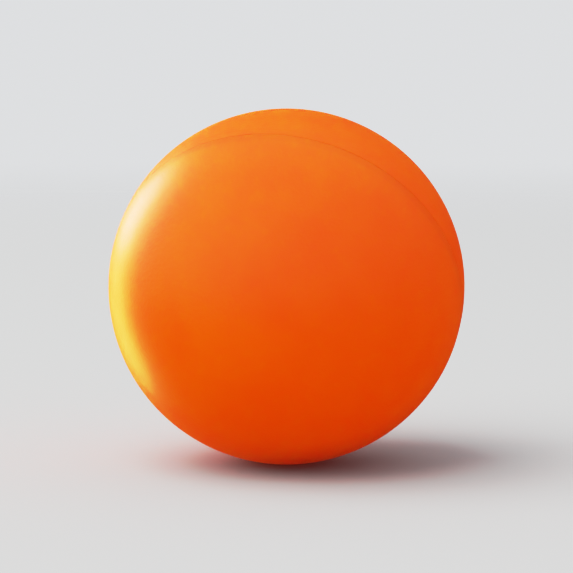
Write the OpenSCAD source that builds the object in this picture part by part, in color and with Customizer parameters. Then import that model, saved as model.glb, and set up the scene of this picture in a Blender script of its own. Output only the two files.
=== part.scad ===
// Seamed table tennis ball, in millimetres.
//
// Two moulded half shells meet in a stepped lap joint: the rear half's thin spigot lip slides
// inside the front half's socket lip, and a film of solvent cement fills the gap between them.
// Every piece is turned about the seam's pole, so each one is a section that is spun, then leaned.
// The origin is the ball's centre, +Z is up, and the ball rests on the point straight below it.

/* [Ball] */
// Outer diameter
ball_d = 40; // [33:0.5:48]
// Thickness of the shell wall
shell_wall = 0.52; // [0.4:0.01:0.8]

/* [Seam] */
// Lean of the seam's pole from upright, towards +Y, in degrees
seam_lean = 60; // [0:0.5:90]
// Extra wall, inwards, that leaves a straight land inside the rims
land_depth = 0.1; // [0.05:0.01:0.3]
// Length of the lap between the two lips, along the seam's pole
lap_length = 1.2; // [0.6:0.05:2.4]
// Thickness of the cement film
film = 0.04; // [0.02:0.005:0.08]
// Radius of the cement bead that squeezes out inside
bead_r = 0.15; // [0.05:0.01:0.3]

/* [Hidden] */
$fn = 240;

shell_colour = "#EF5D0F";
cement_colour = "#CC4B0F";

ball_r = ball_d / 2;
cavity_r = ball_r - shell_wall;
land_r = cavity_r - land_depth;

// The lips share what the film leaves of the wall at the land
lip_wall = (ball_r - land_r - film) / 2;
spigot_r = land_r + lip_wall;

// The bead lies where the film comes out at the spigot's tip
bead_z = -lap_length - film / 2;

// Radius of the inside of the wall at a height z above the seam
function inside_r(z) = min(land_r, sqrt(pow(cavity_r, 2) - pow(z, 2)));

// Half of a disc that is centred on the pole, as spinning needs it
module half_disc(r) {
    intersection() {
        circle(r = r);
        translate([0, -r]) square([r, 2 * r]);
    }
}

// Section of the whole ball's wall: thin all round, and thicker at the land
module wall_section() {
    difference() {
        half_disc(ball_r);
        intersection() {
            half_disc(cavity_r);
            translate([0, -cavity_r]) square([land_r, 2 * cavity_r]);
        }
    }
}

// Everything on the rear side of the stepped joint, moved outwards by a gap
module rear_side(gap) {
    translate([0, -gap]) square([ball_d, ball_d]);
    translate([0, -lap_length - gap]) square([spigot_r + gap, ball_d]);
}

module spin_and_lean() {
    rotate([-seam_lean, 0, 0]) rotate_extrude() children();
}

module rear_half_shell() {
    color(shell_colour) spin_and_lean() intersection() {
        wall_section();
        rear_side(0);
    }
}

module front_half_shell() {
    color(shell_colour) spin_and_lean() difference() {
        wall_section();
        rear_side(film);
    }
}

module seam_cement() {
    color(cement_colour) spin_and_lean() {
        intersection() {
            wall_section();
            difference() {
                rear_side(film);
                rear_side(0);
            }
        }
        difference() {
            translate([inside_r(bead_z), bead_z]) circle(r = bead_r);
            wall_section();
        }
    }
}

rear_half_shell();
front_half_shell();
seam_cement();
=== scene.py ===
"""Looks of a seamed table tennis ball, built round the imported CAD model.

The ball is two moulded half shells and the cement that joins them. Each piece is a closed body of
revolution about the seam's pole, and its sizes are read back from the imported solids. Lengths are in
metres unless a name ends in _MM.
"""

import bpy
import numpy as np
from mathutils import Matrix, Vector


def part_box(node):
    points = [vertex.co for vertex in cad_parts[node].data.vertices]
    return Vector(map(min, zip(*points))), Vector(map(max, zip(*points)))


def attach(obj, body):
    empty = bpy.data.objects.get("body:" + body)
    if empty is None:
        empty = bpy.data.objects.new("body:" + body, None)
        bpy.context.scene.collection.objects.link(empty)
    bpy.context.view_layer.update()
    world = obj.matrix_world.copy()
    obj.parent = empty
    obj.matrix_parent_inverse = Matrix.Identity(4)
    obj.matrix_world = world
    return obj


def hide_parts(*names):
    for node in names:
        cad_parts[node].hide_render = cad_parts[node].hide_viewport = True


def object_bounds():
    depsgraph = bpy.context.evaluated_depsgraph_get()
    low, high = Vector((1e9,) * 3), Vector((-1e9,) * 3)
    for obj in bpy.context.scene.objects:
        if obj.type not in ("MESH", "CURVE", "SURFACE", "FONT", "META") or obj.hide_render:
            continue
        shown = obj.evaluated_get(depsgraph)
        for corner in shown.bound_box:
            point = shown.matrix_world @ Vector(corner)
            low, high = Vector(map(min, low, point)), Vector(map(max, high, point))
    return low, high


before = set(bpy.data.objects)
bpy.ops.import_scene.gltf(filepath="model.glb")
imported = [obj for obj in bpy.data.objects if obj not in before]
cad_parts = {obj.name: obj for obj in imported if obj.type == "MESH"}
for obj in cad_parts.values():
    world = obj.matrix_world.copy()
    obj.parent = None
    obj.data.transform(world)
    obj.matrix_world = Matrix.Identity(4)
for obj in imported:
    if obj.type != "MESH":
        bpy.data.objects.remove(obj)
CAD_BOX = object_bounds()

MM = 0.001

# The grid of the turned surfaces: columns round the pole, and rings along each stretch of a profile.
# The outside's rings lie closer together within a band beside the seam.
TURNS = 360
OUTER_RINGS = 110
SEAM_RINGS = 30
SEAM_RINGS_WIDTH = 3.6 * MM
INNER_RINGS = 60
FILLET_RINGS = 6
TIP_RINGS = 4
MENISCUS_RINGS = 7
BEAD_RINGS = 12

# The rims as moulded, the cement between them, and the outside as tumbled and ground. The meniscus
# starts at its depth, and its middle lies deeper by a share of that. The cement keeps a small
# clearance to the shells' faces.
RIM_FILLET = 0.06 * MM
TIP_FILLET = 0.03 * MM
MENISCUS_DEPTH = 0.035 * MM
MENISCUS_SAG = 0.35
CEMENT_CLEARANCE = 0.002 * MM
GROUND_DEPTH = 0.012 * MM
GROUND_HALF_WIDTH = 0.9 * MM
GROUND_EDGE = 0.35 * MM
RIPPLE_DEPTH = 0.03 * MM
RIPPLE_LENGTHS = (21 * MM, 16 * MM, 12.5 * MM, 10 * MM)
RIPPLE_SEED = 7

# The shells' plastic and the cement: each has a main colour and a deep one, and tone runs from 0 to 1
# between them. The rear half's colours are a little darker and redder than the front's, as painted shade
# on that side of the seam, and the lap's tone is painted shade where the wall is doubled. Detail is how
# many finer layers a noise pattern has, and most of its values lie between NOISE_LOW and NOISE_HIGH.
FRONT_COLOURS = ("#F55A02", "#EC4A02")
REAR_SHADED_COLOURS = ("#F35502", "#E94602")
CEMENT_COLOURS = ("#CE4A0C", "#B83C08")
CLOUD_SIZE = 9 * MM
CLOUD_DETAIL = 3.0
CLOUD_TONE = 0.5
BLOTCH_SIZE = 1.5 * MM
BLOTCH_DETAIL = 2.0
GRAIN_SIZE = 0.35 * MM
GRAIN_DEPTH = 0.025 * MM
GRAIN_DETAIL = 2.0
CEMENT_GRAIN_DETAIL = 1.0
CEMENT_GRAIN_STRENGTH = 0.5
NOISE_LOW = 0.3
NOISE_HIGH = 0.7
LAP_BLUR = 0.25 * MM
LAP_PAINTED_SHADE = 0.3
TUMBLED_ROUGHNESS = (0.38, 0.43)
MOULDED_ROUGHNESS = 0.2
CEMENT_ROUGHNESS = (0.34, 0.22)

# Where the ball is seen from. Azimuth 0 is in front, on the -Y side, and 90 is on the +X side.
# Things nearer than NEAREST_SEEN aren't drawn.
VIEW_AZIMUTH = 14.0
VIEW_ELEVATION = 5.0
LENS_MM = 135.0
SENSOR_MM = 36.0
BALL_SHARE_OF_VIEW = 0.62
NEAREST_SEEN = 0.01

# Softboxes: azimuth, elevation, width and height, watts, colour. The wide one hangs above the left.
# Two stand behind the left: a low warm one, and a whiter one over it that gives the rim its sheen.
# A weak warm one fills the underside from the right, as a bounce card does.
LIGHT_DISTANCE = 1.6
LIGHTS = {
    "top_light": (-56, 52, (2.0, 2.0), 52.0, "#FFFAF2"),
    "low_light": (236, -4, (0.45, 1.4), 38.0, "#FFC666"),
    "rim_light": (237, 18, (0.45, 0.65), 19.0, "#FFF2D8"),
    "bounce_light": (60, -35, (1.2, 1.2), 7.5, "#FF6A48"),
}

# The room and the floor. The floor fades out between two distances from the ball.
BRIGHT_SIDE = (-75.0, 35.0)
ROOM_COLOURS = ("#8E8E8E", "#FFFFFF")
ROOM_STRENGTH = 1.7
MIRRORED_STRENGTH = 0.05
BACKDROP_COLOUR = "#DCDFE3"
FLOOR_COLOUR = "#909294"
FLOOR_REACH = 4.0
FLOOR_SIDES = 96
FLOOR_FADE = (0.2, 1.2)

# The tone curve: the strength of light that ends it, and (strength, tone) along it. Blender keeps the
# curve that red, green and blue share after their own three.
CURVE_WHITE = 4.0
SHARED_CURVE = 3
CURVE_POINTS = ((0.2, 0.2), (0.4, 0.49), (0.67, 0.71), (1.0, 0.81), (1.4, 0.865), (2.2, 0.92))


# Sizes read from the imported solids


def node_points(name):
    """The corners of a CAD node's mesh, one row each."""
    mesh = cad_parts[name].data
    points = np.empty(len(mesh.vertices) * 3, np.float32)
    mesh.vertices.foreach_get("co", points)
    return points.reshape(-1, 3).astype(float)


def seam_axes(lean):
    """Columns: X, the seam's other diameter, and the seam's pole, which leans from +Z towards +Y."""
    c, s = np.cos(lean), np.sin(lean)
    return np.array([[1.0, 0.0, 0.0], [0.0, c, s], [0.0, -s, c]])


def measure_ball():
    """The ball's sizes, from the corners of the solids seen along and across the seam's pole.

    The cement shows all round the seam, so its highest point is the ball's radius times the sine of
    the lean. Radii are distances from the pole, and heights run along it from the seam.
    """
    low, high = CAD_BOX
    radius = (high.x - low.x) / 2
    axes = seam_axes(np.arcsin(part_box("seam_cement")[1].z / radius))
    rear = node_points("rear_half_shell") @ axes
    front = node_points("front_half_shell") @ axes
    cement = node_points("seam_cement") @ axes
    lap = -rear[:, 2].min()
    film = -front[:, 2].max()

    # The corners within half a film of the spigot's tip, and of the socket lip's face
    tip = np.hypot(rear[:, 0], rear[:, 1])[rear[:, 2] < film / 2 - lap]
    lip_face = np.hypot(front[:, 0], front[:, 1])[front[:, 2] > -film - film / 2]

    # The corners far from the joint, where the wall is thin
    dome = rear[rear[:, 2] > radius / 2]
    return {
        "radius": radius,
        "axes": axes,
        "pole": axes[:, 2],
        "lap": lap,
        "film": film,
        "cavity": np.linalg.norm(dome, axis=1).min(),
        "land": tip.min(),
        "spigot": tip.max(),
        "socket": lip_face.min(),
        "bead": tip.min() - np.hypot(cement[:, 0], cement[:, 1]).min(),
    }


BALL = measure_ball()


# Surfaces


def arc(centre, radius, start, end, count):
    """Points (out, up) on an arc in the half plane through the pole: centre plus radius times (sine,
    cosine) of an angle that runs evenly from start to end, measured from the pole."""
    angle = np.linspace(start, end, count)
    return np.array(centre) + radius * np.column_stack([np.sin(angle), np.cos(angle)])


def rim_arc(side):
    """The outside of one half, from its pole to the seam's face: the ball's arc, closer spaced near the
    seam, then a fillet that touches both the arc and the flat face.

    side is 1 for the rear half and -1 for the front half, whose face is one film below the seam."""
    radius, fillet = BALL["radius"], RIM_FILLET
    face = 0.0 if side > 0 else BALL["film"]
    up = face + fillet
    meet = np.arccos(up / (radius - fillet))
    near = meet - SEAM_RINGS_WIDTH / radius
    dome = arc((0, 0), radius, 0, near, OUTER_RINGS)
    band = arc((0, 0), radius, near, meet, SEAM_RINGS)[1:]
    centre = (radius - fillet) * np.sin(meet), up
    edge = arc(centre, fillet, meet, np.pi, FILLET_RINGS)[1:]
    return np.vstack([dome, band, edge]) * (1, side)


def inside_arc(side):
    """The inside of one half, from the straight land behind the rim to the pole."""
    cavity = BALL["cavity"]
    start = np.arcsin(BALL["land"] / cavity)
    return arc((0, 0), cavity, start, 0, INNER_RINGS) * (1, side)


def rear_profile():
    """Out along the rear half's outside, in across the seam's face, down the spigot lip, round its tip
    and back up inside. The tip's two corners are quarter circles."""
    lap, land, spigot = BALL["lap"], BALL["land"], BALL["spigot"]
    up = TIP_FILLET - lap
    outer_tip = arc((spigot - TIP_FILLET, up), TIP_FILLET, np.pi / 2, np.pi, TIP_RINGS)
    inner_tip = arc((land + TIP_FILLET, up), TIP_FILLET, np.pi, 1.5 * np.pi, TIP_RINGS)
    return np.vstack([rim_arc(1), [[spigot, 0.0]], outer_tip, inner_tip, inside_arc(1)])


def front_profile():
    """Out along the front half's outside, in across the socket lip's face, down the rebate, in across its
    floor and down the land to the inside."""
    film, floor = BALL["film"], -BALL["lap"] - BALL["film"]
    socket, land = BALL["socket"], BALL["land"]
    step = [[socket, -film], [socket, floor], [land, floor]]
    return np.vstack([rim_arc(-1), step, inside_arc(-1)])


def cement_profile():
    """A closed loop round the cement: a hollow meniscus between the two rims, the film down the lap, the
    round bead inside, and the film back up. The meniscus is a parabola from rim to rim, and starts
    where the rims' fillets are as deep as it is."""
    radius, film, lap = BALL["radius"], BALL["film"], BALL["lap"]
    land, clear = BALL["land"], CEMENT_CLEARANCE
    rise = RIM_FILLET - np.sqrt(RIM_FILLET**2 - (RIM_FILLET - MENISCUS_DEPTH) ** 2)
    top, bottom = rise - clear, clear - film - rise
    across = np.linspace(-1, 1, MENISCUS_RINGS)
    depth = MENISCUS_DEPTH * (1 + MENISCUS_SAG * (1 - across**2))
    outside = np.column_stack([radius - depth, (top + bottom) / 2 - across * (top - bottom) / 2])

    neck = radius - RIM_FILLET
    outer, inner = BALL["socket"] - clear, BALL["spigot"] + clear
    ledge, floor, tip = clear - film, clear - lap - film, -clear - lap
    down = [[neck, ledge], [outer, ledge], [outer, floor], [land, floor]]
    bead = arc((land - clear, -lap - film / 2), BALL["bead"], np.pi, 2 * np.pi, BEAD_RINGS)
    back = [[land, tip], [inner, tip], [inner, -clear], [neck, -clear]]
    return np.vstack([outside, down, bead, back])


def ripple(points):
    """How far the tumbled outside lies under the true sphere: a sum of four plane waves of different
    lengths and directions, scaled so that it runs from 0 to the ripple's depth."""
    rng = np.random.default_rng(RIPPLE_SEED)
    total = np.zeros(points.shape[:-1])
    for length in RIPPLE_LENGTHS:
        heading = rng.normal(size=3)
        heading /= np.linalg.norm(heading)
        total += np.sin(points @ heading * 2 * np.pi / length + rng.uniform(0, 2 * np.pi))
    return RIPPLE_DEPTH * (1 + total / len(RIPPLE_LENGTHS)) / 2


def ground_band(height):
    """How deep the seam is ground: the full depth within the band, easing to nothing past its edge."""
    past = np.clip((np.abs(height) - GROUND_HALF_WIDTH) / GROUND_EDGE, 0, 1)
    return GROUND_DEPTH * (1 - past * past * (3 - 2 * past))


def finished(corners):
    """Moves corners towards the ball's centre by the ripple and the ground band. The move is whole at the
    outside and fades evenly to nothing at the spigot's radius."""
    depth = BALL["radius"] - np.linalg.norm(corners, axis=1)
    share = np.clip(1 - depth / (BALL["radius"] - BALL["spigot"]), 0, 1)
    move = (ripple(corners) + ground_band(corners[:, 2])) * share
    return corners * (1 - move / BALL["radius"])[:, None]


def ring_faces(rings, closed):
    """Quads from each ring of corners to the next. When closed, the last ring joins the first. Otherwise
    a fan of triangles joins each end ring to its pole, and the two poles are the last two corners."""
    ring = np.arange(rings if closed else rings - 1)[:, None] * TURNS
    below = (ring + TURNS) % (rings * TURNS)
    this, after = np.arange(TURNS), (np.arange(TURNS) + 1) % TURNS
    quads = np.stack([ring + this, below + this, below + after, ring + after], axis=-1)
    faces = quads.reshape(-1, 4).tolist()
    if not closed:
        foot = (rings - 1) * TURNS
        first, last = np.full(TURNS, rings * TURNS), np.full(TURNS, rings * TURNS + 1)
        faces += np.column_stack([first, this, after]).tolist()
        faces += np.column_stack([foot + this, last, foot + after]).tolist()
    return faces


def signed_volume(corners, faces):
    """Six times the volume inside the faces, positive when they face outwards: the sum over each face's
    first triangle, and over its second where it is a quad."""
    first = np.array([face[:3] for face in faces])
    second = np.array([(face[0], face[2], face[3]) for face in faces if len(face) == 4])
    corner = corners[np.vstack([first, second])]
    return np.einsum("ij,ij->", corner[:, 0], np.cross(corner[:, 1], corner[:, 2]))


def turned(name, profile, closed):
    """A body of revolution: each profile point (out, up) goes round the seam's pole, and the outside is
    then finished. A closed profile is a loop, which turns into a ring. An open one begins and ends on
    the pole, and each end is one corner."""
    angle = np.arange(TURNS) * 2 * np.pi / TURNS
    rings = profile if closed else profile[1:-1]
    out, up = rings[:, :1], rings[:, 1:]
    points = np.stack([out * np.cos(angle), out * np.sin(angle), up + 0 * angle], axis=-1)
    corners = points.reshape(-1, 3)
    if not closed:
        poles = [[0, 0, profile[0, 1]], [0, 0, profile[-1, 1]]]
        corners = np.vstack([corners, poles])
    corners = finished(corners)
    faces = ring_faces(len(rings), closed)
    if signed_volume(corners, faces) < 0:
        faces = [face[::-1] for face in faces]
    mesh = bpy.data.meshes.new(name)
    mesh.from_pydata((corners @ BALL["axes"].T).tolist(), [], faces)
    mesh.shade_smooth()
    piece = bpy.data.objects.new(name, mesh)
    bpy.context.scene.collection.objects.link(piece)
    return piece


rear_half = turned("rear_half", rear_profile(), closed=False)
front_half = turned("front_half", front_profile(), closed=False)
cement_ring = turned("cement_ring", cement_profile(), closed=True)


# Materials


def linear(colour):
    """An sRGB hex colour as linear red, green and blue, with alpha 1."""
    parts = np.array([int(colour[i : i + 2], 16) / 255 for i in (1, 3, 5)])
    parts = np.where(parts <= 0.04045, parts / 12.92, ((parts + 0.055) / 1.055) ** 2.4)
    return (*parts, 1.0)


def add(tree, kind, sockets=None, **settings):
    """Adds a shader node. sockets maps its inputs to values, to the outputs that feed them, or to nodes,
    which feed them from their first output in use."""
    made = tree.nodes.new(kind)
    for name, value in settings.items():
        setattr(made, name, value)
    for name, value in (sockets or {}).items():
        if isinstance(value, bpy.types.Node):
            value = next(output for output in value.outputs if output.enabled)
        if isinstance(value, bpy.types.NodeSocket):
            tree.links.new(value, made.inputs[name])
        else:
            made.inputs[name].default_value = value
    return made


def new_tree(holder):
    """The empty node tree of a new material or world."""
    holder.use_nodes = True
    holder.node_tree.nodes.clear()
    return holder.node_tree


def tumbled_abs(name, colour, deep_colour):
    """ABS with a strong orange pigment, injection moulded, then tumbled with grit.

    Moulding leaves the inside smooth and glossy. Tumbling leaves the outside evenly matt, with a soft
    wide sheen. The wall is thin, so light spreads in it and warms the shade. Where the lap doubles the
    wall, a band of painted shade makes it a little deeper in tone.
    """
    material = bpy.data.materials.new(name)
    tree = new_tree(material)
    place = add(tree, "ShaderNodeTexCoord").outputs["Object"]
    from_centre = add(tree, "ShaderNodeVectorMath", {0: place}, operation="LENGTH")
    outside = add(
        tree, "ShaderNodeMapRange",
        {"Value": from_centre, "From Min": BALL["cavity"], "From Max": BALL["socket"]},
    )

    # Pigment clouds, a few per cent in tone
    clouds = add(
        tree, "ShaderNodeTexNoise",
        {"Vector": place, "Scale": 1 / CLOUD_SIZE, "Detail": CLOUD_DETAIL},
    )
    cloud = add(
        tree, "ShaderNodeMapRange",
        {"Value": clouds, "From Min": NOISE_LOW, "From Max": NOISE_HIGH, "To Max": CLOUD_TONE},
        interpolation_type="SMOOTHSTEP",
    )

    # The lap lies under the front half's rim. Its band is read from heights along the seam's pole, and is
    # painted a little deeper in tone: painted shade where the doubled wall lets less light through.
    half_lap = BALL["lap"] / 2
    height = add(tree, "ShaderNodeVectorMath", {0: place, 1: BALL["pole"]}, operation="DOT_PRODUCT")
    from_middle = add(tree, "ShaderNodeMath", {0: height, 1: half_lap}, operation="ADD")
    off_middle = add(tree, "ShaderNodeMath", {0: from_middle}, operation="ABSOLUTE")
    lap = add(
        tree, "ShaderNodeMapRange",
        {
            "Value": off_middle,
            "From Min": half_lap - LAP_BLUR,
            "From Max": half_lap + LAP_BLUR,
            "To Min": LAP_PAINTED_SHADE,
            "To Max": 0.0,
        },
        interpolation_type="SMOOTHSTEP",
    )
    # The tone's depth is the clouds' random tone plus the lap band's painted shade.
    depth = add(tree, "ShaderNodeMath", {0: cloud, 1: lap}, operation="ADD", use_clamp=True)
    tone = add(
        tree, "ShaderNodeMix",
        {"Factor": depth, "A": linear(colour), "B": linear(deep_colour)},
        data_type="RGBA",
    )

    # Tumbling grain: about 0.05 mm on the ball, drawn at GRAIN_SIZE so that it shows
    grain = add(
        tree, "ShaderNodeTexNoise",
        {"Vector": place, "Scale": 1 / GRAIN_SIZE, "Detail": GRAIN_DETAIL},
    )
    bump = add(tree, "ShaderNodeBump", {"Strength": outside, "Distance": GRAIN_DEPTH, "Height": grain})
    matt = add(
        tree, "ShaderNodeMapRange",
        {
            "Value": clouds,
            "From Min": NOISE_LOW,
            "From Max": NOISE_HIGH,
            "To Min": TUMBLED_ROUGHNESS[0],
            "To Max": TUMBLED_ROUGHNESS[1],
        },
    )
    rough = add(tree, "ShaderNodeMix", {"Factor": outside, "A": MOULDED_ROUGHNESS, "B": matt})
    surface = add(
        tree, "ShaderNodeBsdfPrincipled",
        {
            "Base Color": tone,
            "Roughness": rough,
            "Normal": bump,
            "IOR": 1.53,
            "Specular IOR Level": 0.12,
            "Subsurface Weight": 1.0,
            "Subsurface Radius": (1.0, 0.12, 0.02),
            "Subsurface Scale": 1.0 * MM,
        },
    )
    add(tree, "ShaderNodeOutputMaterial", {"Surface": surface})
    return material


def solvent_cement(name, colour, deep_colour):
    """ABS dissolved in solvent. It dries to a glossy line, a little deeper in tone than the halves, with
    blotches where it dried thicker and a skin that shrank unevenly."""
    material = bpy.data.materials.new(name)
    tree = new_tree(material)
    place = add(tree, "ShaderNodeTexCoord").outputs["Object"]
    blotches = add(
        tree, "ShaderNodeTexNoise",
        {"Vector": place, "Scale": 1 / BLOTCH_SIZE, "Detail": BLOTCH_DETAIL},
    )
    thickness = add(
        tree, "ShaderNodeMapRange", {"Value": blotches, "From Min": NOISE_LOW, "From Max": NOISE_HIGH}
    )
    tone = add(
        tree, "ShaderNodeMix",
        {"Factor": thickness, "A": linear(colour), "B": linear(deep_colour)},
        data_type="RGBA",
    )
    gloss = add(
        tree, "ShaderNodeMapRange",
        {"Value": thickness, "To Min": CEMENT_ROUGHNESS[0], "To Max": CEMENT_ROUGHNESS[1]},
    )
    skin = add(
        tree, "ShaderNodeTexNoise",
        {"Vector": place, "Scale": 1 / GRAIN_SIZE, "Detail": CEMENT_GRAIN_DETAIL},
    )
    bump = add(
        tree, "ShaderNodeBump",
        {"Strength": CEMENT_GRAIN_STRENGTH, "Distance": GRAIN_DEPTH, "Height": skin},
    )
    surface = add(
        tree, "ShaderNodeBsdfPrincipled",
        {
            "Base Color": tone,
            "Roughness": gloss,
            "Normal": bump,
            "IOR": 1.5,
            "Specular IOR Level": 0.3,
        },
    )
    add(tree, "ShaderNodeOutputMaterial", {"Surface": surface})
    return material


front_half.data.materials.append(tumbled_abs("tumbled_abs_front", *FRONT_COLOURS))
# The rear half gets darker, redder colours: painted shade on that side of the seam.
rear_half.data.materials.append(tumbled_abs("tumbled_abs_rear_shaded", *REAR_SHADED_COLOURS))
cement_ring.data.materials.append(solvent_cement("solvent_cement", *CEMENT_COLOURS))

for piece, node, slot in (
    (rear_half, "rear_half_shell", "shell_plastic"),
    (front_half, "front_half_shell", "shell_plastic"),
    (cement_ring, "seam_cement", "seam_cement"),
):
    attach(piece, "root")
    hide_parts(node)


# Studio


def direction(azimuth, elevation):
    """The unit vector from the ball towards an azimuth and elevation in degrees."""
    a, e = np.radians([azimuth, elevation])
    return Vector((np.sin(a) * np.cos(e), -np.cos(a) * np.cos(e), np.sin(e)))


def aim(thing, azimuth, elevation, distance):
    """Stands a camera or light off the ball's centre, looking at it."""
    towards = direction(azimuth, elevation)
    thing.location = towards * distance
    thing.rotation_euler = towards.to_track_quat("Z", "Y").to_euler()
    bpy.context.scene.collection.objects.link(thing)


def camera():
    """A long lens, from just above the floor. The ball fills a fixed share of the view: its radius is
    that share of the half width that the lens sees at the ball's distance."""
    eye = bpy.data.cameras.new("camera")
    eye.lens = LENS_MM
    eye.sensor_width = SENSOR_MM
    eye.clip_start = NEAREST_SEEN
    thing = bpy.data.objects.new("camera", eye)
    distance = BALL["radius"] / (BALL_SHARE_OF_VIEW * SENSOR_MM / 2 / LENS_MM)
    aim(thing, VIEW_AZIMUTH, VIEW_ELEVATION, distance)
    bpy.context.scene.camera = thing


def soft_light(name, azimuth, elevation, size, watts, colour):
    """A softbox of a width and height. The camera doesn't see its panel, from any side."""
    lamp = bpy.data.lights.new(name, "AREA")
    lamp.shape = "RECTANGLE"
    lamp.size, lamp.size_y = size
    lamp.energy = watts
    lamp.color = linear(colour)[:3]
    thing = bpy.data.objects.new(name, lamp)
    thing.visible_camera = False
    aim(thing, azimuth, elevation, LIGHT_DISTANCE)
    return thing


def flag_floor(*lights):
    """Keeps these lights off the floor, as a flag does in a studio: only the ball receives them, and only
    the ball shades them."""
    ball = bpy.data.collections.new("ball")
    for piece in (rear_half, front_half, cement_ring):
        ball.objects.link(piece)
    for light in lights:
        light.light_linking.receiver_collection = ball
        light.light_linking.blocker_collection = ball


def pale_floor():
    """A flat matt disc at the ball's resting point. It fades out far away, so no horizon shows, and it
    isn't mirrored in the ball."""
    angle = np.arange(FLOOR_SIDES) * 2 * np.pi / FLOOR_SIDES
    level = np.full(FLOOR_SIDES, CAD_BOX[0].z)
    ring = np.column_stack([FLOOR_REACH * np.cos(angle), FLOOR_REACH * np.sin(angle), level])
    mesh = bpy.data.meshes.new("pale_floor")
    mesh.from_pydata(ring.tolist(), [], [list(range(FLOOR_SIDES))])
    floor = bpy.data.objects.new("pale_floor", mesh)
    floor.visible_glossy = False
    bpy.context.scene.collection.objects.link(floor)

    material = bpy.data.materials.new("matt_pale_floor")
    mesh.materials.append(material)
    tree = new_tree(material)
    place = add(tree, "ShaderNodeTexCoord").outputs["Object"]
    far = add(tree, "ShaderNodeVectorMath", {0: place}, operation="LENGTH")
    fade = add(
        tree, "ShaderNodeMapRange",
        {"Value": far, "From Min": FLOOR_FADE[0], "From Max": FLOOR_FADE[1]},
        interpolation_type="SMOOTHSTEP",
    )
    paint = add(
        tree, "ShaderNodeBsdfPrincipled",
        {"Base Color": linear(FLOOR_COLOUR), "Roughness": 1.0, "Specular IOR Level": 0.0},
    )
    clear = add(tree, "ShaderNodeBsdfTransparent")
    mix = add(tree, "ShaderNodeMixShader", {0: fade, 1: paint, 2: clear})
    add(tree, "ShaderNodeOutputMaterial", {"Surface": mix})


def soft_room():
    """A pale backdrop for the eye, and a room light that is brighter on one side and hardly mirrored."""
    world = bpy.data.worlds.new("soft_room")
    bpy.context.scene.world = world
    tree = new_tree(world)
    place = add(tree, "ShaderNodeTexCoord").outputs["Generated"]
    turn = add(
        tree, "ShaderNodeVectorMath", {0: place, 1: direction(*BRIGHT_SIDE)}, operation="DOT_PRODUCT"
    )
    nearness = add(tree, "ShaderNodeMapRange", {"Value": turn, "From Min": -1.0, "From Max": 1.0})
    tone = add(
        tree, "ShaderNodeMix",
        {"Factor": nearness, "A": linear(ROOM_COLOURS[0]), "B": linear(ROOM_COLOURS[1])},
        data_type="RGBA",
    )
    rays = add(tree, "ShaderNodeLightPath").outputs
    strength = add(
        tree, "ShaderNodeMix", {"Factor": rays["Is Glossy Ray"], "A": ROOM_STRENGTH, "B": MIRRORED_STRENGTH}
    )
    lit = add(tree, "ShaderNodeBackground", {"Color": tone, "Strength": strength})
    seen = add(tree, "ShaderNodeBackground", {"Color": linear(BACKDROP_COLOUR)})
    mix = add(tree, "ShaderNodeMixShader", {0: rays["Is Camera Ray"], 1: lit, 2: seen})
    add(tree, "ShaderNodeOutputWorld", {"Surface": mix})


def tone_curve():
    """One curve for red, green and blue: true in the shadows, a little steeper in the middle, then a soft
    shoulder, so the strongest channel rolls off and doesn't clip."""
    view = bpy.context.scene.view_settings
    view.view_transform = "Standard"
    view.use_curve_mapping = True
    mapping = view.curve_mapping
    mapping.white_level = [CURVE_WHITE] * 3
    for light, tone in CURVE_POINTS:
        mapping.curves[SHARED_CURVE].points.new(light / CURVE_WHITE, tone)
    mapping.update()


camera()
pale_floor()
soft_room()
tone_curve()
lights = {name: soft_light(name, *settings) for name, settings in LIGHTS.items()}
lights["top_light"].visible_glossy = False
lights["bounce_light"].visible_glossy = False
flag_floor(lights["low_light"], lights["rim_light"], lights["bounce_light"])
